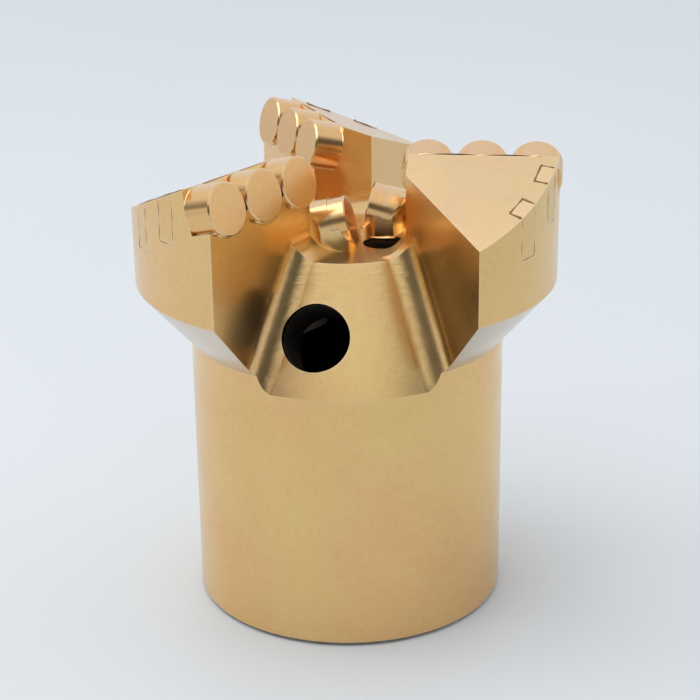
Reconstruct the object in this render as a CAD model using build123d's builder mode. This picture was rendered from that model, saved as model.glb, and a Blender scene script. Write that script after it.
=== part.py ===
from build123d import *
from math import cos, hypot, radians, sin, tan
import os

# Three-wing concave PDC drill bit, standing on its shank.
# Millimetres. Origin: centre of the shank's bottom face. +Z: towards the cutters.
# Wing 1's cutter row runs along +X, its cutters face +Y; wings 2 and 3 follow
# counter-clockwise at 120 degree steps.

os.makedirs("parts", exist_ok=True)

# ---------------------------------------------------------------- cutters
cutter_dia = 13.44          # standard PDC cutter diameter
cutter_len = 8.0            # length of the wing cutters
centre_cutter_len = 4.5     # length of the two centre cutters
cutter_chamfer = 0.35       # rim chamfer of the diamond face
back_rake = 15.0            # tilt of every cutter face, degrees
braze_gap = 0.05            # clearance between cutter and pocket, all round
gauge_dia = 113.0           # circle the outer cutters cut
gauge_relief = 0.6          # the steel stays this far inside that circle
row_pitch = 14.0            # distance between neighbours in a wing's row
face_n = 2.27               # how far a face centre stands ahead of the row line
face_z = 120.1              # height of a face centre

# ---------------------------------------------------------------- body
shank_r = 41.8
shank_top = 74.2            # where the undercone leaves the shank
gauge_low = 90.3            # where the undercone meets the gauge
edge_break = 1.2            # chamfer round the shank's bottom edge
wings = 3

# ---------------------------------------------------------------- wings
lead_n = 1.7                # leading face, ahead of the row line
inner_overhang = 2.3        # the inner cutter reaches this far past the inner end face
inner_n = -15.2             # where the inner end face meets the trailing face
trail_angle = 52.6          # trailing face, swung back from the row, degrees
top_slope = 0.425           # fall of the wing top behind the cutters
cusp_drop = 2.2             # steel between pockets ends this far below the axes
root_fillet = 6.3           # concave fillets round the foot of each wing
recess_depth = 2.6          # steel beside the outer cutter is cut back by this much
recess_drop = 4.6           # down to this far below the cutter's axis
pocket_run = 6.0            # a pocket's cut runs this far ahead of the cutter face

# ---------------------------------------------------------------- stock
run_out = 6.0               # the channel tool runs out this far past the gauge and the top
channel_floor = 20.0        # and its cone runs down to below this height

# ---------------------------------------------------------------- core
cone_low = 69.9             # channel cone meets the shank
plateau_z = 100.0
plateau_r = 23.6

# ---------------------------------------------------------------- nozzles and flow
nozzle_dia = 17.7
nozzle_r = 33.6             # mouth centre, from the axis
nozzle_angle = 23.2         # ahead of each wing's row, degrees
nozzle_run = 26.0           # length bored inwards from the cone
plateau_hole_dia = 10.0
plateau_hole_at = (10.2, -5.6)
chamber_r = 18.0
chamber_top = 78.0
chamber_roof_r = 11.0
chamber_roof_z = 85.0
plateau_hole_low = 74.0

# ---------------------------------------------------------------- rod socket
socket_r = 27.0             # minor radius of the rod thread
socket_depth = 60.0
mouth_r = 29.0              # plain lead-in below the thread
mouth_depth = 6.0

# ---------------------------------------------------------------- gauge inserts
insert_width = 6.0
insert_height = 12.0
insert_depth = 3.5
insert_angles = (-14.9, -29.2)
insert_gap = 0.05
slot_run = 20.0             # the slot's cut runs this far out past its floor and foot

# ---------------------------------------------------------------- centre posts
post_r = 7.3                # round foot of a centre cutter's backing post
post_crown = 6.95           # radius of its rounded top
post_soften = 1.6           # fillet where the top meets the foot's back
post_sink = 2.0             # how deep a post is carried into the plateau
post_front = 2.6            # the pocket's cut runs this far ahead of the cutter face
post_ahead = 4.8            # a centre cutter's face stands this far ahead of its post's axis
centre_face_z = 106.6
centre_cutters = ((2.3, -7.0, 0.0), (5.3, 5.7, 180.0))   # x, y, facing direction

# ---------------------------------------------------------------- derived
cutter_r = cutter_dia / 2
pocket_r = cutter_r + braze_gap
rake = radians(back_rake)
gauge_r = gauge_dia / 2 - gauge_relief
row_u = [gauge_dia / 2 - cutter_r - row_pitch * i for i in range(3)]
inner_u = row_u[-1] - cutter_r + inner_overhang
recess_u = gauge_r - recess_depth
back_wall = cutter_len + braze_gap
# back end of a wing cutter, seen along the row: its top edge is where the wing top starts
back_n = face_n - back_wall * cos(rake) - cutter_r * sin(rake)
back_z = face_z - back_wall * sin(rake) + cutter_r * cos(rake)
stock_r = gauge_r + run_out
stock_z = back_z + run_out
cone_run = hypot(shank_r - plateau_r, plateau_z - cone_low)
cone_out = (plateau_z - cone_low) / cone_run
cone_up = (shank_r - plateau_r) / cone_run
nozzle_z = cone_low + (shank_r - nozzle_r) * (plateau_z - cone_low) / (shank_r - plateau_r)


def along(u, n, z, turn):
    """A point given in a wing's own frame, turned to that wing."""
    a = radians(turn)
    return (u * cos(a) - n * sin(a), u * sin(a) + n * cos(a), z)


def face_plane(u, n, z, turn, facing=90.0, back=0.0):
    """Plane of a cutter face: origin at its centre, normal out of the face, raked back."""
    a = radians(turn + facing)
    normal = (cos(a) * cos(rake), sin(a) * cos(rake), sin(rake))
    side = (-sin(a), cos(a), 0)
    x, y, height = along(u, n, z, turn)
    origin = (x - normal[0] * back, y - normal[1] * back, height - normal[2] * back)
    return Plane(origin=origin, x_dir=side, z_dir=normal)


def insert_plane(angle, turn, gap):
    """Floor of an insert's slot: x along the gauge, y up from the slot's foot, z outwards."""
    a = radians(turn + angle)
    r = gauge_r - insert_depth - gap
    top = back_z + (gauge_r * sin(radians(angle)) - back_n) * top_slope
    return Plane(
        origin=(r * cos(a), r * sin(a), top - insert_height - gap),
        x_dir=(-sin(a), cos(a), 0),
        z_dir=(cos(a), sin(a), 0),
    )


turns = [360 / wings * i for i in range(wings)]

# ================================================================ channels
# Everything the mill takes away above the shank: a solid with the three wings left out.
with BuildPart() as wing_plan:
    with BuildSketch(Plane.XY.offset(channel_floor)):
        with BuildLine():
            trail_run = stock_r + run_out - inner_u
            Polyline(
                (inner_u, lead_n),
                (inner_u + trail_run, lead_n),
                (inner_u + trail_run, inner_n - trail_run * tan(radians(trail_angle))),
                (inner_u, inner_n),
                close=True,
            )
        make_face()
    extrude(amount=stock_z + run_out - channel_floor)

with BuildPart() as wing_side:
    with BuildSketch(Plane.YZ):
        with BuildLine():
            front_z = face_z - (face_n - lead_n) * tan(rake) - cusp_drop / cos(rake)
            wall_n = face_n - back_wall * cos(rake) + cusp_drop * sin(rake)
            wall_z = face_z - back_wall * sin(rake) - cusp_drop * cos(rake)
            ahead = lead_n + run_out
            Polyline(
                (ahead, channel_floor),
                (ahead, front_z + run_out * tan(rake)),
                (wall_n, wall_z),
                (back_n, back_z),
                (-2 * stock_r, back_z - (back_n + 2 * stock_r) * top_slope),
                (-2 * stock_r, channel_floor),
                close=True,
            )
        make_face()
    extrude(amount=stock_r + run_out)

wing_blank = wing_plan.part & wing_side.part

with BuildPart() as channels:
    with BuildSketch(Plane.XZ):
        with BuildLine():
            cone_far_z = cone_low - (stock_r - shank_r) * cone_out / cone_up
            Polyline(
                (0, plateau_z),
                (plateau_r, plateau_z),
                (stock_r, cone_far_z),
                (stock_r, stock_z),
                (0, stock_z),
                close=True,
            )
        make_face()
    revolve(axis=Axis.Z)
    for turn in turns:
        add(wing_blank.rotate(Axis.Z, turn), mode=Mode.SUBTRACT)
    feet = [
        e
        for e in channels.edges()
        if e.geom_type != GeomType.CIRCLE
        and e.center().Z < plateau_z + 0.1
        and hypot(e.center().X, e.center().Y) < stock_r - 1
        and abs(e.tangent_at(0.5).Z) < 0.99
    ]
    fillet(feet, root_fillet)

# ================================================================ centre posts
# A round foot under a round-topped crown, flat where the cutter's face stands.
posts = []
for x, y, facing in centre_cutters:
    face = face_plane(x, y, centre_face_z, 0, facing)
    a = radians(facing)
    with BuildPart() as post:
        with BuildSketch(Plane.XY.offset(plateau_z - post_sink)):
            with Locations((x - post_ahead * cos(a), y - post_ahead * sin(a))):
                Circle(post_r)
        extrude(amount=3 * post_r)
        with BuildSketch(face):
            Circle(post_crown)
            with Locations((0, -2 * post_r)):
                Rectangle(2 * post_crown, 4 * post_r)
        extrude(amount=-4 * post_r, mode=Mode.INTERSECT)
        with BuildSketch(face):
            Rectangle(2 * post_r, 2 * post_r, align=(Align.CENTER, Align.MIN))
        extrude(amount=-(centre_cutter_len + braze_gap), mode=Mode.SUBTRACT)
        fillet(post.edges().filter_by(GeomType.BSPLINE), post_soften)
    posts.append(post.part)

# ================================================================ body
with BuildPart() as bit_body:
    with BuildSketch(Plane.XZ):
        with BuildLine():
            Polyline(
                (0, 0),
                (shank_r - edge_break, 0),
                (shank_r, edge_break),
                (shank_r, shank_top),
                (gauge_r, gauge_low),
                (gauge_r, back_z),
                (0, back_z),
                close=True,
            )
        make_face()
    revolve(axis=Axis.Z)
    add(channels.part, mode=Mode.SUBTRACT)

    # rod socket and flow chamber
    with BuildSketch(Plane.XZ):
        with BuildLine():
            Polyline(
                (0, 0),
                (mouth_r, 0),
                (mouth_r, mouth_depth),
                (socket_r, mouth_depth),
                (socket_r, socket_depth),
                (chamber_r, socket_depth + socket_r - chamber_r),
                (chamber_r, chamber_top),
                (chamber_roof_r, chamber_roof_z),
                (0, chamber_roof_z),
                close=True,
            )
        make_face()
    revolve(axis=Axis.Z, mode=Mode.SUBTRACT)

    # vertical hole through the plateau
    with BuildSketch(Plane.XY.offset(plateau_z + root_fillet)):
        with Locations(plateau_hole_at):
            Circle(plateau_hole_dia / 2)
    extrude(amount=-(plateau_z + root_fillet - plateau_hole_low), mode=Mode.SUBTRACT)

    # one nozzle hole per channel, square to the cone
    for turn in turns:
        a = radians(turn + nozzle_angle)
        hole = Plane(
            origin=(nozzle_r * cos(a), nozzle_r * sin(a), nozzle_z),
            x_dir=(-sin(a), cos(a), 0),
            z_dir=(cone_out * cos(a), cone_out * sin(a), cone_up),
        )
        with BuildSketch(hole.offset(root_fillet)):
            Circle(nozzle_dia / 2)
        extrude(amount=-(nozzle_run + root_fillet), mode=Mode.SUBTRACT)

    # backing posts of the centre cutters
    for post_shape in posts:
        add(post_shape)

    # cutter pockets
    for turn in turns:
        for u in row_u:
            with BuildSketch(face_plane(u, face_n, face_z, turn, back=back_wall)):
                Circle(pocket_r)
            extrude(amount=back_wall + pocket_run, mode=Mode.SUBTRACT)
        outer = face_plane(row_u[0], face_n, face_z, turn, back=back_wall)
        with BuildSketch(outer):
            with Locations((row_u[0] - recess_u, -recess_drop)):
                Rectangle(stock_r - recess_u, 3 * cutter_r, align=(Align.MAX, Align.MIN))
        extrude(amount=back_wall + pocket_run, mode=Mode.SUBTRACT)
    for x, y, facing in centre_cutters:
        seat = face_plane(x, y, centre_face_z, 0, facing, centre_cutter_len + braze_gap)
        with BuildSketch(seat):
            Circle(pocket_r)
        extrude(amount=centre_cutter_len + post_front, mode=Mode.SUBTRACT)

    # insert slots in the gauge
    for turn in turns:
        for angle in insert_angles:
            with BuildSketch(insert_plane(angle, turn, insert_gap)):
                Rectangle(
                    insert_width + 2 * insert_gap,
                    slot_run,
                    align=(Align.CENTER, Align.MIN),
                )
            extrude(amount=slot_run, mode=Mode.SUBTRACT)
bit_body.part.label = "bit_body"
export_step(bit_body.part, "parts/bit_body.step")

# ================================================================ wing cutters
for i, turn in enumerate(turns):
    for u, place in zip(row_u, ("outer", "middle", "inner")):
        with BuildPart() as cutter:
            with BuildSketch(face_plane(u, face_n, face_z, turn)):
                Circle(cutter_r)
            extrude(amount=-cutter_len)
            front = cutter.faces().filter_by(GeomType.PLANE).sort_by(Axis.Z)[-1]
            chamfer(front.edges(), cutter_chamfer)
        cutter.part.label = f"cutter_{i + 1}_{place}"
        export_step(cutter.part, f"parts/cutter_{i + 1}_{place}.step")

# ================================================================ centre cutters
for i, (x, y, facing) in enumerate(centre_cutters):
    with BuildPart() as centre_cutter:
        with BuildSketch(face_plane(x, y, centre_face_z, 0, facing)):
            Circle(cutter_r)
        extrude(amount=-centre_cutter_len)
        front = centre_cutter.faces().filter_by(GeomType.PLANE).sort_by(Axis.Z)[-1]
        chamfer(front.edges(), cutter_chamfer)
    centre_cutter.part.label = f"cutter_centre_{i + 1}"
    export_step(centre_cutter.part, f"parts/cutter_centre_{i + 1}.step")

# ================================================================ gauge inserts
with BuildPart() as wing_shape:
    with BuildSketch(Plane.XY.offset(channel_floor)):
        Circle(gauge_r)
    extrude(amount=stock_z - channel_floor)
    add(wing_plan.part, mode=Mode.INTERSECT)
    add(wing_side.part, mode=Mode.INTERSECT)
for i, turn in enumerate(turns):
    for angle, place in zip(insert_angles, ("front", "rear")):
        with BuildPart() as insert:
            with BuildSketch(insert_plane(angle, turn, 0)):
                Rectangle(insert_width, slot_run, align=(Align.CENTER, Align.MIN))
            extrude(amount=slot_run)
            add(wing_shape.part.rotate(Axis.Z, turn), mode=Mode.INTERSECT)
        insert.part.label = f"gauge_insert_{i + 1}_{place}"
        export_step(insert.part, f"parts/gauge_insert_{i + 1}_{place}.step")
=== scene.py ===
import math

import bpy
import numpy as np
from mathutils import Matrix, Vector


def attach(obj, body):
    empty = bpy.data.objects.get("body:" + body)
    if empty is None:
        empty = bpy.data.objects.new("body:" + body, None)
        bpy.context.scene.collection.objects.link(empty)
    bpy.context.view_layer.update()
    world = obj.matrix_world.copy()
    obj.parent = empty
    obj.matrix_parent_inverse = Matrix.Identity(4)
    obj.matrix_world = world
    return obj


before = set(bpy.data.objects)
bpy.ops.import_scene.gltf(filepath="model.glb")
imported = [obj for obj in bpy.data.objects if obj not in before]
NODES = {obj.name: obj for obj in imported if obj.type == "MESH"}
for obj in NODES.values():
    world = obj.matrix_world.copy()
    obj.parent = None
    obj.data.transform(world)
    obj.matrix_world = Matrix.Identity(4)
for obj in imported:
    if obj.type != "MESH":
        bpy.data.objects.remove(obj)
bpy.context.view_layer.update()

bl_info = {
    "name": "Concave drag bit",
    "version": (1, 0, 0),
    "blender": (4, 5, 0),
    "location": "3D View > Sidebar > Drag bit",
    "description": "Finishes a three-wing drag bit: coated steel, braze beads, rod thread and a studio",
    "category": "Object",
}

# Places and sizes of the solids, in metres, in the frame's own axes. A wing's own frame has u
# along its cutter row, n towards its cutting side and z up.
TURNS = (0.0, 120.0, 240.0)
CUTTER_R = 0.00672
CUTTER_LEN = 0.008
BRAZE_GAP = 0.00005
RAKE = math.radians(15.0)
ROW_U = (0.04978, 0.03578, 0.02178)
ROW_PITCH = 0.014
FACE_N = 0.00227
FACE_Z = 0.1201
CENTRE_CUTTERS = ((0.0023, -0.0070, 0.0), (0.0053, 0.0057, 180.0))
CENTRE_Z = 0.1066
POST_R = 0.0073
POST_AHEAD = 0.0048
PLATEAU_R = 0.0236
PLATEAU_Z = 0.1000
CONE_OUT, CONE_UP = 0.856, 0.517  # the cone's own normal, outwards and upwards
SHANK_R = 0.0418
SOCKET_R = 0.0270
GAUGE_R = 0.0559
TOP_SLOPE = 0.425
INSERT_ANGLES = (-14.9, -29.2)
INSERT_W = 0.006
INSERT_H = 0.012
INSERT_D = 0.0035
# the top edge of a wing cutter's back end, where the wing's top starts to fall
BACK_N = FACE_N - (CUTTER_LEN + BRAZE_GAP) * math.cos(RAKE) - CUTTER_R * math.sin(RAKE)
TOP_Z = FACE_Z - (CUTTER_LEN + BRAZE_GAP) * math.sin(RAKE) + CUTTER_R * math.cos(RAKE)
BEAD_OUT = 1.01  # a bead beside a cutter runs at this many times its radius


# ------------------------------------------------------------------ sizes and colours
class BitSizes(bpy.types.PropertyGroup):
    bead_radius: bpy.props.FloatProperty(
        name="Bead radius", description="Half-thickness of a braze bead",
        default=0.00042, min=0.0001, max=0.002, unit="LENGTH", precision=5,
    )
    bead_wander: bpy.props.FloatProperty(
        name="Bead wander", description="How much a bead swells and thins along its run",
        default=0.45, min=0.0, max=1.0, subtype="FACTOR",
    )
    seam_radius: bpy.props.FloatProperty(
        name="Seam radius", description="Half-thickness of the seam round a gauge insert",
        default=0.0002, min=0.00005, max=0.001, unit="LENGTH", precision=5,
    )
    thread_pitch: bpy.props.FloatProperty(
        name="Thread pitch", description="Rise of the rod thread in one turn",
        default=0.00635, min=0.001, max=0.02, unit="LENGTH", precision=5,
    )
    thread_depth: bpy.props.FloatProperty(
        name="Thread depth", description="How far the thread stands in from the bore's wall",
        default=0.0016, min=0.0002, max=0.004, unit="LENGTH", precision=5,
    )
    floor_size: bpy.props.FloatProperty(
        name="Floor size", description="Side of the floor",
        default=6.0, min=1.0, max=20.0, unit="LENGTH",
    )


class BitColours(bpy.types.PropertyGroup):
    coat: bpy.props.FloatVectorProperty(
        name="Coat", description="Bronze-gold coat on the steel",
        subtype="COLOR", size=3, min=0.0, max=1.0, default=(0.82, 0.55, 0.245),
    )
    coat_warm: bpy.props.FloatVectorProperty(
        name="Warm tint", description="Redder patches of the coat",
        subtype="COLOR", size=3, min=0.0, max=1.0, default=(0.82, 0.485, 0.22),
    )
    coat_green: bpy.props.FloatVectorProperty(
        name="Greenish tint", description="Yellow-green patches of the coat",
        subtype="COLOR", size=3, min=0.0, max=1.0, default=(0.79, 0.585, 0.22),
    )
    # partly wear, partly painted highlight: a paler coat colour on edges and corners, for coat worn there and
    # for light caught on the chamfers
    edge: bpy.props.FloatVectorProperty(
        name="Edge", description="Coat worn bright along the edges",
        subtype="COLOR", size=3, min=0.0, max=1.0, default=(0.84, 0.64, 0.40),
    )
    thin: bpy.props.FloatVectorProperty(
        name="Thin coat", description="Paler steel where the spray reached least, on faces that look down",
        subtype="COLOR", size=3, min=0.0, max=1.0, default=(0.66, 0.60, 0.52),
    )
    # painted sheen: a paler colour on faces that look straight up, standing for the light from above
    top: bpy.props.FloatVectorProperty(
        name="Upper faces", description="Paler coat on faces that look straight up",
        subtype="COLOR", size=3, min=0.0, max=1.0, default=(0.82, 0.64, 0.47),
    )
    # partly braze, partly painted shade: the seams round the gauge inserts and the lumps at their corners are
    # darkened to stand for the shade in the gaps and pits
    seam: bpy.props.FloatVectorProperty(
        name="Seam", description="Dull braze in the seams round the gauge inserts",
        subtype="COLOR", size=3, min=0.0, max=1.0, default=(0.36, 0.22, 0.10),
    )
    # partly uncoated steel, partly painted shade: darkened to near black, standing for the shade inside the
    # bores and the socket
    bore_steel_shade: bpy.props.FloatVectorProperty(
        name="Bare steel", description="Uncoated dark steel inside the bores",
        subtype="COLOR", size=3, min=0.0, max=1.0, default=(0.13, 0.11, 0.095),
    )
    floor: bpy.props.FloatVectorProperty(
        name="Floor", description="Pale floor and backdrop",
        subtype="COLOR", size=3, min=0.0, max=1.0, default=(0.74, 0.77, 0.80),
    )


# ------------------------------------------------------------------ node helpers
def new_material(name):
    """An empty node material with its output and a metallic coat shader."""
    m = bpy.data.materials.new(name)
    m.use_nodes = True
    t = m.node_tree
    t.nodes.clear()
    out = t.nodes.new("ShaderNodeOutputMaterial")
    shader = t.nodes.new("ShaderNodeBsdfPrincipled")
    t.links.new(shader.outputs["BSDF"], out.inputs["Surface"])
    shader.inputs["Metallic"].default_value = 1.0
    return m, t, shader


def coords(t, scale=(1, 1, 1), turn=(0, 0, 0)):
    """Object coordinates through a Mapping node."""
    c = t.nodes.new("ShaderNodeTexCoord")
    mapping = t.nodes.new("ShaderNodeMapping")
    mapping.inputs["Scale"].default_value = scale
    mapping.inputs["Rotation"].default_value = turn
    t.links.new(c.outputs["Object"], mapping.inputs["Vector"])
    return mapping.outputs["Vector"]


def feed(t, value, socket):
    """Links a socket, or sets a number or a colour on the input itself."""
    if isinstance(value, bpy.types.NodeSocket):
        t.links.new(value, socket)
    elif isinstance(value, (int, float)):
        socket.default_value = value
    else:
        socket.default_value = (*value, 1)


def noise(t, vector, scale, detail=4.0, rough=0.55):
    """Noise read at a vector; scale is how many cells it has to one unit of the vector."""
    n = t.nodes.new("ShaderNodeTexNoise")
    n.inputs["Scale"].default_value = scale
    n.inputs["Detail"].default_value = detail
    n.inputs["Roughness"].default_value = rough
    t.links.new(vector, n.inputs["Vector"])
    return n.outputs["Fac"]


def ramp(t, value, *stops):
    """A colour ramp; each stop is a position and a grey or a colour."""
    r = t.nodes.new("ShaderNodeValToRGB")
    e = r.color_ramp.elements
    while len(e) < len(stops):
        e.new(0.5)
    for i, (at, colour) in enumerate(stops):
        e[i].position = at
        e[i].color = (colour,) * 3 + (1,) if isinstance(colour, float) else (*colour, 1)
    t.links.new(value, r.inputs["Fac"])
    return r.outputs["Color"]


def blend(t, factor, a, b, how="MIX"):
    """A colour between a and b, by the factor. The Mix node's colour sockets are 6 and 7, out 2."""
    m = t.nodes.new("ShaderNodeMix")
    m.data_type = "RGBA"
    m.blend_type = how
    for value, i in ((factor, 0), (a, 6), (b, 7)):
        feed(t, value, m.inputs[i])
    return m.outputs[2]


def blend_value(t, factor, a, b):
    """A number between a and b, by the factor. The Mix node's number sockets are 2 and 3, out 0."""
    m = t.nodes.new("ShaderNodeMix")
    for value, i in ((factor, 0), (a, 2), (b, 3)):
        feed(t, value, m.inputs[i])
    return m.outputs[0]


def maths(t, how, *values):
    """One Math node on up to three sockets or numbers."""
    m = t.nodes.new("ShaderNodeMath")
    m.operation = how
    for i, value in enumerate(values):
        feed(t, value, m.inputs[i])
    return m.outputs["Value"]


def times(t, first, *rest):
    """The product of two or more sockets or numbers."""
    for value in rest:
        first = maths(t, "MULTIPLY", first, value)
    return first


def bump(t, shader, *layers):
    """Bump layers, each (height, strength, distance), chained into the shader's normal."""
    last = None
    for height, strength, distance in layers:
        b = t.nodes.new("ShaderNodeBump")
        b.inputs["Strength"].default_value = strength
        b.inputs["Distance"].default_value = distance
        t.links.new(height, b.inputs["Height"])
        if last is not None:
            t.links.new(last, b.inputs["Normal"])
        last = b.outputs["Normal"]
    t.links.new(last, shader.inputs["Normal"])


# mask of the edges and corners, where the coat is worn and a painted highlight is laid
def edge_wear_and_highlight_mask(t, width=0.0009):
    """1 on edges and corners, 0 elsewhere: how far a bevelled normal leaves the true one."""
    b = t.nodes.new("ShaderNodeBevel")
    b.samples = 4
    b.inputs["Radius"].default_value = width
    g = t.nodes.new("ShaderNodeNewGeometry")
    d = t.nodes.new("ShaderNodeVectorMath")
    d.operation = "DOT_PRODUCT"
    t.links.new(b.outputs["Normal"], d.inputs[0])
    t.links.new(g.outputs["Normal"], d.inputs[1])
    return ramp(t, d.outputs["Value"], (0.86, 1.0), (0.985, 0.0))


def between(t, value, low, high):
    """0 below low, 1 above high, a straight ramp between; low may be the larger."""
    m = t.nodes.new("ShaderNodeMapRange")
    m.inputs["From Min"].default_value = low
    m.inputs["From Max"].default_value = high
    t.links.new(value, m.inputs["Value"])
    return m.outputs["Result"]


def place(t):
    """Height, distance from the bit's axis and angle round it, from Object coordinates."""
    c = t.nodes.new("ShaderNodeTexCoord")
    part = t.nodes.new("ShaderNodeSeparateXYZ")
    t.links.new(c.outputs["Object"], part.inputs["Vector"])
    x, y, z = part.outputs
    r = maths(t, "SQRT", maths(t, "ADD", maths(t, "POWER", x, 2.0), maths(t, "POWER", y, 2.0)))
    return z, r, maths(t, "ARCTAN2", y, x)


def streaks(t, angle, height, round_it, up_it, detail, rough):
    """Noise on the angle and the height, each with its own number of cells."""
    c = t.nodes.new("ShaderNodeCombineXYZ")
    t.links.new(times(t, angle, round_it), c.inputs["X"])
    t.links.new(times(t, height, up_it), c.inputs["Y"])
    return noise(t, c.outputs["Vector"], 1.0, detail, rough)


def facing_up(t):
    """The height part of the surface's own normal."""
    g = t.nodes.new("ShaderNodeNewGeometry")
    x = t.nodes.new("ShaderNodeSeparateXYZ")
    t.links.new(g.outputs["True Normal"], x.inputs["Vector"])
    return x.outputs[2]


def coated_steel(name, colours, rough=(0.24, 0.36), grain=0.25, patches=1.0, warm=0.0, body=False):
    """Sprayed bronze-gold on machined steel: mottled tints, dark specks, fine grain, brighter edges
    that are partly worn and partly a painted highlight, and a painted sheen on faces that look
    straight up. rough is the range of roughness, grain the strength of the fine grain, patches how
    strong the mottling is and warm how far the coat keeps to its redder tint."""
    m, t, shader = new_material(name)
    shader.inputs["Coat Weight"].default_value = 0.12
    shader.inputs["Coat Roughness"].default_value = 0.30
    at = coords(t)
    cloud = ramp(t, noise(t, at, 30.0, 4.0, 0.55), (0.36, 0.0), (0.66, 1.0))
    tint = ramp(t, noise(t, coords(t, turn=(0.4, 0.9, 0.2)), 22.0, 3.0, 0.5), (0.48, 0.0), (0.70, 1.0))
    specks = ramp(t, noise(t, at, 700.0, 2.0, 0.5), (0.30, 0.95), (0.55, 1.0))
    up = facing_up(t)
    warmth = maths(t, "MULTIPLY_ADD", cloud, 0.75 * patches * (1 - warm), warm)
    base = blend(t, warmth, colours.coat, colours.coat_warm)
    base = blend(t, times(t, tint, 0.45 * patches), base, colours.coat_green)
    base = blend(t, 1.0, base, specks, "MULTIPLY")
    # painted sheen: faces that look straight up turn paler, standing for the light from above
    base = blend(t, times(t, between(t, up, 0.75, 0.90), 0.35), base, colours.top)
    # edges and corners turn paler: partly coat wear, partly painted highlight
    base = blend(t, times(t, edge_wear_and_highlight_mask(t), 0.8), base, colours.edge)
    wear = between(t, noise(t, at, 60.0, 5.0, 0.6), 0.3, 0.7)
    roughness = maths(t, "MULTIPLY_ADD", wear, rough[1] - rough[0], rough[0])
    layers = [
        (noise(t, at, 1500.0, 3.0, 0.6), grain, 0.00003),
        (noise(t, at, 110.0, 3.0, 0.5), 0.2, 0.00015),
    ]
    if body:
        base, roughness, marks = body_marks(t, colours, base, roughness, wear, up)
        layers += marks
    t.links.new(base, shader.inputs["Base Color"])
    t.links.new(roughness, shader.inputs["Roughness"])
    bump(t, shader, *layers)
    return m


def body_marks(t, colours, base, roughness, wear, up):
    """What only the body has: a thin coat where it looks down, a smoother cone with turning marks,
    milling marks on the wings' inner ends, and uncoated steel inside the bores, darkened to near
    black as painted shade."""
    base = blend(t, times(t, between(t, up, -0.25, -0.55), 0.85), base, colours.thin)
    height, r, angle = place(t)
    # distance outside the cone's slope, square to it
    past_rim = times(t, maths(t, "SUBTRACT", r, PLATEAU_R), CONE_OUT)
    above_rim = times(t, maths(t, "SUBTRACT", height, PLATEAU_Z), CONE_UP)
    off = maths(t, "ADD", past_rim, above_rim)
    near_slope = between(t, maths(t, "ABSOLUTE", off), 0.0016, 0.0004)
    on_cone = times(t, near_slope, between(t, r, PLATEAU_R - 0.0006, PLATEAU_R + 0.0002))
    roughness = blend_value(t, on_cone, roughness, maths(t, "MULTIPLY_ADD", wear, 0.05, 0.13))
    brushing = times(t, streaks(t, angle, height, 330.0, 60.0, 3.0, 0.6), on_cone)
    near_top = times(t, on_cone, between(t, height, 0.088, 0.096))
    inner_end = times(t, between(t, r, 0.0275, 0.0255), between(t, height, 0.1045, 0.1060))
    milled = streaks(t, angle, height, 3.0, 900.0, 2.0, 0.5)
    ripples = times(t, milled, maths(t, "MAXIMUM", near_top, inner_end))
    # painted shade: faces inside the bores, under the cone, take the near-black bore colour
    inside = times(
        t,
        between(t, off, -0.0010, -0.0035),
        between(t, r, SHANK_R - 0.0004, SHANK_R - 0.0010),
        between(t, height, PLATEAU_Z - 0.0006, PLATEAU_Z - 0.0015),
        between(t, height, 0.0003, 0.0008),
    )
    base = blend(t, inside, base, colours.bore_steel_shade)
    roughness = blend_value(t, inside, roughness, 0.55)
    return base, roughness, [(brushing, 0.22, 0.00006), (ripples, 0.35, 0.0001)]


def bare_steel(name, colour):
    """Uncoated steel, as inside the socket: a dull tone with fine turning lines."""
    m, t, shader = new_material(name)
    at = coords(t)
    tone = ramp(t, noise(t, at, 80.0, 5.0, 0.6), (0.3, 0.65), (0.7, 1.0))
    t.links.new(blend(t, 1.0, colour, tone, "MULTIPLY"), shader.inputs["Base Color"])
    shader.inputs["Roughness"].default_value = 0.45
    bump(t, shader, (noise(t, coords(t, (60.0, 60.0, 3000.0)), 1.0, 3.0, 0.5), 0.3, 0.00004))
    return m


# ------------------------------------------------------------------ geometry helpers
def turned(points, degrees):
    """Points of a wing's own frame, turned about the bit's axis."""
    c, s = math.cos(math.radians(degrees)), math.sin(math.radians(degrees))
    p = np.asarray(points, float)
    return np.stack([p[..., 0] * c - p[..., 1] * s, p[..., 0] * s + p[..., 1] * c, p[..., 2]], -1)


def skin(points, tube=False):
    """Corner points, corner numbers and corner counts of the faces of a grid of points (rows,
    columns, 3), where neighbours share a face. tube joins the last column to the first and
    closes both end rows."""
    rows, cols = points.shape[:2]
    a, b = np.meshgrid(np.arange(rows - 1), np.arange(cols if tube else cols - 1), indexing="ij")
    b2 = (b + 1) % cols
    quads = np.stack([a * cols + b, a * cols + b2, (a + 1) * cols + b2, (a + 1) * cols + b], -1)
    corners, counts = [quads.ravel()], [np.full(a.size, 4)]
    if tube:
        end = np.arange(cols)
        corners += [end[::-1], (rows - 1) * cols + end]
        counts += [np.array([cols, cols])]
    return points.reshape(-1, 3), np.concatenate(corners), np.concatenate(counts)


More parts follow.
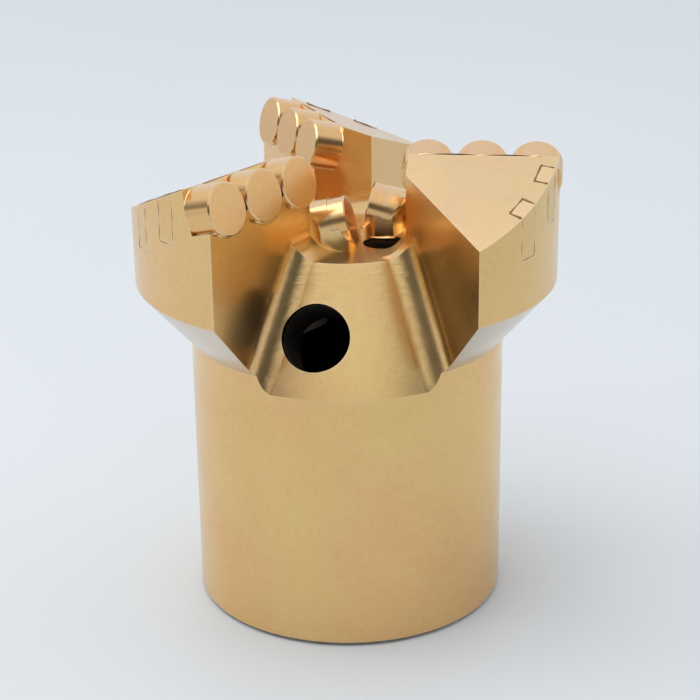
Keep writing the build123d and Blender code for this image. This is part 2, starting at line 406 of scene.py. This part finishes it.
def solid(name, *skins, smooth=True):
    """One object out of one or more skins, its corner numbers shifted past the skins before it."""
    shift = np.cumsum([0] + [len(points) for points, _, _ in skins])
    points = np.concatenate([points for points, _, _ in skins])
    corners = np.concatenate([corners + n for (_, corners, _), n in zip(skins, shift)])
    counts = np.concatenate([counts for _, _, counts in skins])
    mesh = bpy.data.meshes.new(name)
    mesh.vertices.add(len(points))
    mesh.vertices.foreach_set("co", points.ravel())
    mesh.loops.add(len(corners))
    mesh.loops.foreach_set("vertex_index", corners.astype(np.int32))
    mesh.polygons.add(len(counts))
    mesh.polygons.foreach_set("loop_start", (np.cumsum(counts) - counts).astype(np.int32))
    mesh.polygons.foreach_set("use_smooth", np.full(len(counts), smooth))
    mesh.update(calc_edges=True)
    o = bpy.data.objects.new(name, mesh)
    bpy.context.scene.collection.objects.link(o)
    return o


def fit_to_body(o, material):
    """Gives a piece its finish and fixes it to the bit."""
    o.data.materials.append(material)
    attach(o, "root")


def bead(path, radius, wander, seed, sides=10):
    """A braze bead along a path. At each point the section is a circle of sides points, square
    to the path's direction; its radius is the bead's radius times 1 plus wander times the mean of
    three sines of the distance run, with phases drawn from the seed, and it tapers at the ends."""
    step = np.gradient(path, axis=0)
    step /= np.linalg.norm(step, axis=1, keepdims=True)
    run = np.concatenate([[0], np.cumsum(np.linalg.norm(np.diff(path, axis=0), axis=1))])
    phase = np.random.default_rng(seed).uniform(0, 2 * np.pi, 3)
    swell = np.sin(run[:, None] / [0.0009, 0.0016, 0.0031] + phase).mean(1)
    taper = np.clip(np.minimum(run, run[-1] - run) / (2 * radius), 0.05, 1) ** 0.5
    r = radius * (1 + wander * swell) * taper
    ref = np.where(np.abs(step[:, 2:3]) > 0.9, [[1.0, 0, 0]], [[0, 0, 1.0]])
    side = np.cross(step, ref)
    side /= np.linalg.norm(side, axis=1, keepdims=True)
    up = np.cross(side, step)
    a = np.linspace(0, 2 * np.pi, sides, endpoint=False)
    ring = np.cos(a)[None, :, None] * side[:, None] + np.sin(a)[None, :, None] * up[:, None]
    return skin(path[:, None] + r[:, None, None] * ring, tube=True)


def seat_frame(u, n, z, facing):
    """Centre, outward normal, side and up directions of a cutter face raked back by RAKE."""
    a = math.radians(facing)
    normal = np.array([math.cos(a) * math.cos(RAKE), math.sin(a) * math.cos(RAKE), math.sin(RAKE)])
    side = np.array([-math.sin(a), math.cos(a), 0.0])
    return np.array([u, n, z]), normal, side, np.cross(normal, side)


def ring_arc(seat, back, radius, start, stop, steps=60):
    """Points round a cutter's axis, from angle start to stop, counted in degrees from its side
    direction towards its top; back is how far behind its face they lie, one value or one each."""
    centre, normal, side, up = seat
    a = np.radians(np.linspace(start, stop, steps))[:, None]
    behind = np.reshape(back, (-1, 1)) * normal
    return centre - behind + radius * (np.cos(a) * side + np.sin(a) * up)


def valley(seat, turn, half, seed):
    """Braze pooled against the back wall between a cutter and its outer neighbour. The section is
    an ellipse carried up the valley: at height h above the axes its half-width is half the pitch
    less the root of the cutter's radius squared less h squared, and its depth swells with a sine."""
    centre, normal, side, up = seat
    h = np.linspace(-0.0010, 0.0068, 40)
    width = ROW_PITCH / 2 - np.sqrt(CUTTER_R**2 - h**2) + 0.0002
    phase = np.random.default_rng(seed).uniform(0, 2 * np.pi)
    fade = np.clip((h[-1] - h) / 0.0012, 0.1, 1) ** 0.5
    depth = half * (3.2 + 0.8 * np.sin(h / 0.0011 + phase)) * fade
    middle = centre - side * ROW_PITCH / 2 - normal * (CUTTER_LEN - 0.0001) + h[:, None] * up
    a = np.linspace(0, 2 * np.pi, 14, endpoint=False)
    across = width[:, None, None] * np.cos(a)[None, :, None] * side
    outwards = depth[:, None, None] * np.sin(a)[None, :, None] * normal
    return skin(turned(middle[:, None] + across + outwards, turn)[:, ::-1], tube=True)


def insert_seams(angle):
    """Two lines round a gauge insert, in its wing's own frame: down one side, along the foot and
    up the other on the gauge, and round the slot's corners on the wing's top, which falls by
    TOP_SLOPE behind the cutters."""
    a = math.radians(angle)
    out = np.array([math.cos(a), math.sin(a), 0.0])
    side = np.array([-math.sin(a), math.cos(a), 0.0])
    n = np.linspace(0, 3, 150)
    across = np.interp(n, range(4), [-1, -1, 1, 1]) * INSERT_W / 2
    run = np.interp(n, range(4), [0, 1, 1, 0])
    bearing = a + across / GAUGE_R
    top = TOP_Z + (GAUGE_R * math.sin(a) - BACK_N) * TOP_SLOPE
    lip = TOP_Z + (GAUGE_R * np.sin(bearing) - BACK_N) * TOP_SLOPE - 0.0002
    r = GAUGE_R - 0.00017
    on_gauge = np.stack([r * np.cos(bearing), r * np.sin(bearing), np.minimum(top - run * INSERT_H, lip)], -1)
    on_top = out * (GAUGE_R - 0.0003 - run * INSERT_D)[:, None] + side * across[:, None]
    on_top[:, 2] = TOP_Z + (on_top[:, 1] - BACK_N) * TOP_SLOPE
    return on_gauge, on_top, out


# ------------------------------------------------------------------ operators
class BIT_OT_finish_steel(bpy.types.Operator):
    """Gives the machined body, the cutters and the gauge inserts their coated finish"""

    bl_idname = "bit.finish_steel"
    bl_label = "Finish the steel"

    def execute(self, context):
        colours = context.scene.bit_colours
        finishes = {
            "bit_body": coated_steel("coated_body", colours, (0.20, 0.28), 0.25, 1.0, body=True),
            "cutter": coated_steel("coated_cutter", colours, (0.20, 0.26), 0.12, 0.5, warm=1.0),
            "gauge_insert": coated_steel("coated_insert", colours, (0.28, 0.36), 0.35, 0.7),
        }
        coated_steel("coated_braze", colours, (0.16, 0.24), 0.1, 0.4)
        # the seam material's dark colour is painted shade in the gaps round the inserts
        bare_steel("seam_and_pit_shade", colours.seam)
        for name, node in NODES.items():
            kind = next(k for k in finishes if name.startswith(k))
            node.data.materials.clear()
            node.data.materials.append(finishes[kind])
        return {"FINISHED"}


class BIT_OT_braze_wings(bpy.types.Operator):
    """Runs braze round the back end of each wing cutter, into the valleys and along the ledges"""

    bl_idname = "bit.braze_wings"
    bl_label = "Braze the wing cutters"

    def execute(self, context):
        sizes = context.scene.bit_sizes
        half, wander = sizes.bead_radius, sizes.bead_wander
        # a bead along the cutter's side at each end of the row: place, angle round the axis, seed
        ledges = ((ROW_U[0], 224.0, 20), (ROW_U[-1], -49.0, 21))
        for w, turn in enumerate(TURNS):
            beads = []
            for c, u in enumerate(ROW_U):
                seat = seat_frame(u, FACE_N, FACE_Z, 90.0)
                seed = 30 * w + c
                back = ring_arc(seat, CUTTER_LEN, CUTTER_R * 0.985, 20, 160)
                beads.append(bead(turned(back, turn), half * 0.7, wander, seed))
                foot = ring_arc(seat, 0.0009, CUTTER_R * BEAD_OUT, 228, 318, 50)
                beads.append(bead(turned(foot, turn), half * 0.9, wander * 1.4, seed + 5))
                if c:
                    beads.append(valley(seat, turn, half, seed + 10))
            for u, angle, own_seed in ledges:
                seat = seat_frame(u, FACE_N, FACE_Z, 90.0)
                along = np.linspace(0.0006, 0.0079, 40)
                run = ring_arc(seat, along, CUTTER_R * BEAD_OUT, angle, angle, len(along))
                beads.append(bead(turned(run, turn), half * 0.8, wander, 30 * w + own_seed))
            fit_to_body(solid(f"braze_wing_{w + 1}", *beads), bpy.data.materials["coated_braze"])
        return {"FINISHED"}


class BIT_OT_braze_inserts(bpy.types.Operator):
    """Runs a thin seam round each gauge insert, darkened as painted shade in its gap, with a dark lump at
    each of its top corners as painted shade standing for a pit
    """

    bl_idname = "bit.braze_inserts"
    bl_label = "Braze the gauge inserts"

    def execute(self, context):
        radius = context.scene.bit_sizes.seam_radius
        for w, turn in enumerate(TURNS):
            seams = []
            for k, angle in enumerate(INSERT_ANGLES):
                on_gauge, on_top, out = insert_seams(angle)
                seed = 10 * w + k
                seams.append(bead(turned(on_gauge, turn), radius, 0.35, 200 + seed))
                seams.append(bead(turned(on_top, turn), radius * 1.2, 0.7, 300 + seed))
                for corner in (0, -1):
                    start = on_gauge[corner] + (0, 0, 0.0002)
                    # a dark lump as painted shade, standing for the pit at the slot's top corner
                    pit_shade = start - out * np.linspace(0.0, 0.0010, 12)[:, None]
                    seams.append(bead(turned(pit_shade, turn), radius * 3.0, 0.5, 400 + 10 * w + 2 * k + corner))
            fit_to_body(solid(f"braze_inserts_{w + 1}", *seams), bpy.data.materials["seam_and_pit_shade"])
        return {"FINISHED"}


class BIT_OT_braze_centre(bpy.types.Operator):
    """Runs a braze bead round the foot of each centre cutter and its post"""

    bl_idname = "bit.braze_centre"
    bl_label = "Braze the centre cutters"

    def execute(self, context):
        sizes = context.scene.bit_sizes
        half, wander = sizes.bead_radius, sizes.bead_wander
        beads = []
        for c, (x, y, facing) in enumerate(CENTRE_CUTTERS):
            a = math.radians(facing)
            middle = np.array([x - POST_AHEAD * math.cos(a), y - POST_AHEAD * math.sin(a), PLATEAU_Z])
            for side in (-1, 1):
                t = a + side * np.radians(np.linspace(62, 118, 60))
                path = middle + (POST_R + 0.0001) * np.stack([np.cos(t), np.sin(t), 0 * t], -1)
                beads.append(bead(path, half * 0.8, wander * 1.5, 90 + 3 * c + side))
            foot = ring_arc(seat_frame(x, y, CENTRE_Z, facing), 0.0003, CUTTER_R * BEAD_OUT, 232, 308, 50)
            beads.append(bead(foot, half * 0.9, wander * 1.4, 97 + c))
        fit_to_body(solid("braze_centre", *beads), bpy.data.materials["coated_braze"])
        return {"FINISHED"}


class BIT_OT_rod_thread(bpy.types.Operator):
    """Runs the rod thread's ridge round the socket's wall"""

    bl_idname = "bit.rod_thread"
    bl_label = "Rod thread"

    def execute(self, context):
        s = context.scene.bit_sizes
        # A ridge of trapezium section carried along a helix: at angle t the section stands at
        # height start + pitch * t / 2 pi, from just outside the bore's wall inwards by the depth,
        # and the depth fades to nothing over the first and last half turn.
        low, high = 0.0075, 0.0575
        turns = (high - low) / s.thread_pitch - 1
        t = np.linspace(0, 2 * np.pi * turns, int(96 * turns))
        fade = np.clip(np.minimum(t, t[-1] - t) / np.pi, 0.02, 1)
        root = SOCKET_R + 0.0003
        crest = SOCKET_R - s.thread_depth * fade
        z = low + s.thread_pitch * (t / (2 * np.pi) + 0.5)
        half_root, half_crest = 0.40 * s.thread_pitch, 0.14 * s.thread_pitch
        r = np.stack([root + 0 * t, root + 0 * t, crest, crest], -1)
        h = np.stack([z - half_root, z + half_root, z + half_crest, z - half_crest], -1)
        points = np.stack([r * np.cos(t)[:, None], r * np.sin(t)[:, None], h], -1)
        thread = solid("rod_thread", skin(points, tube=True), smooth=False)
        # the thread takes the bore colour: uncoated steel darkened as painted shade
        fit_to_body(thread, bare_steel("socket_steel_shade", context.scene.bit_colours.bore_steel_shade))
        return {"FINISHED"}


class BIT_OT_studio(bpy.types.Operator):
    """Pale floor, pale dome with a dark band in front, one soft lamp and the camera"""

    bl_idname = "bit.studio"
    bl_label = "Studio"

    def execute(self, context):
        scene = context.scene
        scene.view_settings.view_transform = "Standard"
        lay_floor(scene.bit_sizes, scene.bit_colours)
        scene.world = pale_dome()
        hang_lamp(scene)
        stand_camera(scene)
        return {"FINISHED"}


def lay_floor(sizes, colours):
    """A flat grid of points, in a matt finish with a faint mottle."""
    g = np.linspace(-sizes.floor_size / 2, sizes.floor_size / 2, 5)
    x, y = np.meshgrid(g, g)
    floor = solid("floor", skin(np.stack([x, y, 0 * x], -1)))
    m, t, shader = new_material("pale_floor")
    shader.inputs["Metallic"].default_value = 0.0
    shader.inputs["Roughness"].default_value = 0.55
    tone = ramp(t, noise(t, coords(t), 3.0, 3.0), (0.3, 0.97), (0.7, 1.0))
    t.links.new(blend(t, 1.0, colours.floor, tone, "MULTIPLY"), shader.inputs["Base Color"])
    floor.data.materials.append(m)


def pale_dome():
    """An even pale dome with a dark band in front, from a little above the horizon upwards."""
    world = bpy.data.worlds.new("studio")
    world.use_nodes = True
    t = world.node_tree
    t.nodes.clear()
    out = t.nodes.new("ShaderNodeOutputWorld")
    sky = t.nodes.new("ShaderNodeBackground")
    where = t.nodes.new("ShaderNodeTexCoord")
    part = t.nodes.new("ShaderNodeSeparateXYZ")
    t.links.new(where.outputs["Generated"], part.inputs["Vector"])
    _, y, z = part.outputs
    in_front = between(t, y, 0.10, -0.15)
    band = times(t, in_front, between(t, z, 0.08, 0.16), between(t, z, 0.62, 0.50))
    t.links.new(blend(t, band, (0.84, 0.87, 0.90), (0.09, 0.09, 0.09)), sky.inputs["Color"])
    sky.inputs["Strength"].default_value = 1.03
    t.links.new(sky.outputs["Background"], out.inputs["Surface"])
    return world


def hang_lamp(scene):
    """One large soft lamp overhead, a little to the left, aimed at the floor before the bit."""
    place_at, aim = Vector((-0.50, -0.20, 1.28)), Vector((0, -0.1, 0.0))
    lamp = bpy.data.lights.new("key_box", "AREA")
    lamp.shape = "SQUARE"
    lamp.size = 1.2
    lamp.energy = 7.5
    o = bpy.data.objects.new("key_box", lamp)
    o.location = place_at
    o.rotation_euler = (aim - place_at).to_track_quat("-Z", "Y").to_euler()
    scene.collection.objects.link(o)


def stand_camera(scene):
    """The camera stands swing round from straight in front, looks down by pitch, is tipped by
    roll, and its line of sight passes the axis by the small angle toe."""
    swing, pitch, roll = math.radians(7.19), math.radians(21.176), math.radians(-0.761)
    toe = 0.0015
    away, height = 0.46985, 0.24949
    yaw = swing - toe
    ahead = Vector((-math.sin(yaw) * math.cos(pitch), math.cos(yaw) * math.cos(pitch), -math.sin(pitch)))
    right = ahead.cross(Vector((0, 0, 1))).normalized()
    up = right.cross(ahead)
    tilted_right = math.cos(roll) * right + math.sin(roll) * up
    tilted_up = math.cos(roll) * up - math.sin(roll) * right
    camera = bpy.data.cameras.new("camera")
    camera.sensor_width = 36.0
    camera.lens = 95.68
    o = bpy.data.objects.new("camera", camera)
    o.matrix_world = Matrix((tilted_right, tilted_up, -ahead)).transposed().to_4x4()
    o.location = (away * math.sin(swing), -away * math.cos(swing), height)
    scene.collection.objects.link(o)
    scene.camera = o


PIECES = (
    BIT_OT_finish_steel,
    BIT_OT_braze_wings,
    BIT_OT_braze_inserts,
    BIT_OT_braze_centre,
    BIT_OT_rod_thread,
    BIT_OT_studio,
)


class BIT_PT_panel(bpy.types.Panel):
    bl_idname = "BIT_PT_panel"
    bl_label = "Drag bit"
    bl_space_type = "VIEW_3D"
    bl_region_type = "UI"
    bl_category = "Drag bit"

    def draw(self, context):
        for group in (context.scene.bit_sizes, context.scene.bit_colours):
            box = self.layout.box()
            for name in group.__annotations__:
                box.prop(group, name)
        for piece in PIECES:
            self.layout.operator(piece.bl_idname)


CLASSES = (BitSizes, BitColours, *PIECES, BIT_PT_panel)


def register():
    for c in CLASSES:
        bpy.utils.register_class(c)
    bpy.types.Scene.bit_sizes = bpy.props.PointerProperty(type=BitSizes)
    bpy.types.Scene.bit_colours = bpy.props.PointerProperty(type=BitColours)


def unregister():
    del bpy.types.Scene.bit_colours
    del bpy.types.Scene.bit_sizes
    for c in reversed(CLASSES):
        bpy.utils.unregister_class(c)


def main():
    register()
    for piece in PIECES:
        group, name = piece.bl_idname.split(".")
        getattr(getattr(bpy.ops, group), name)()


if __name__ == "__main__":
    main()
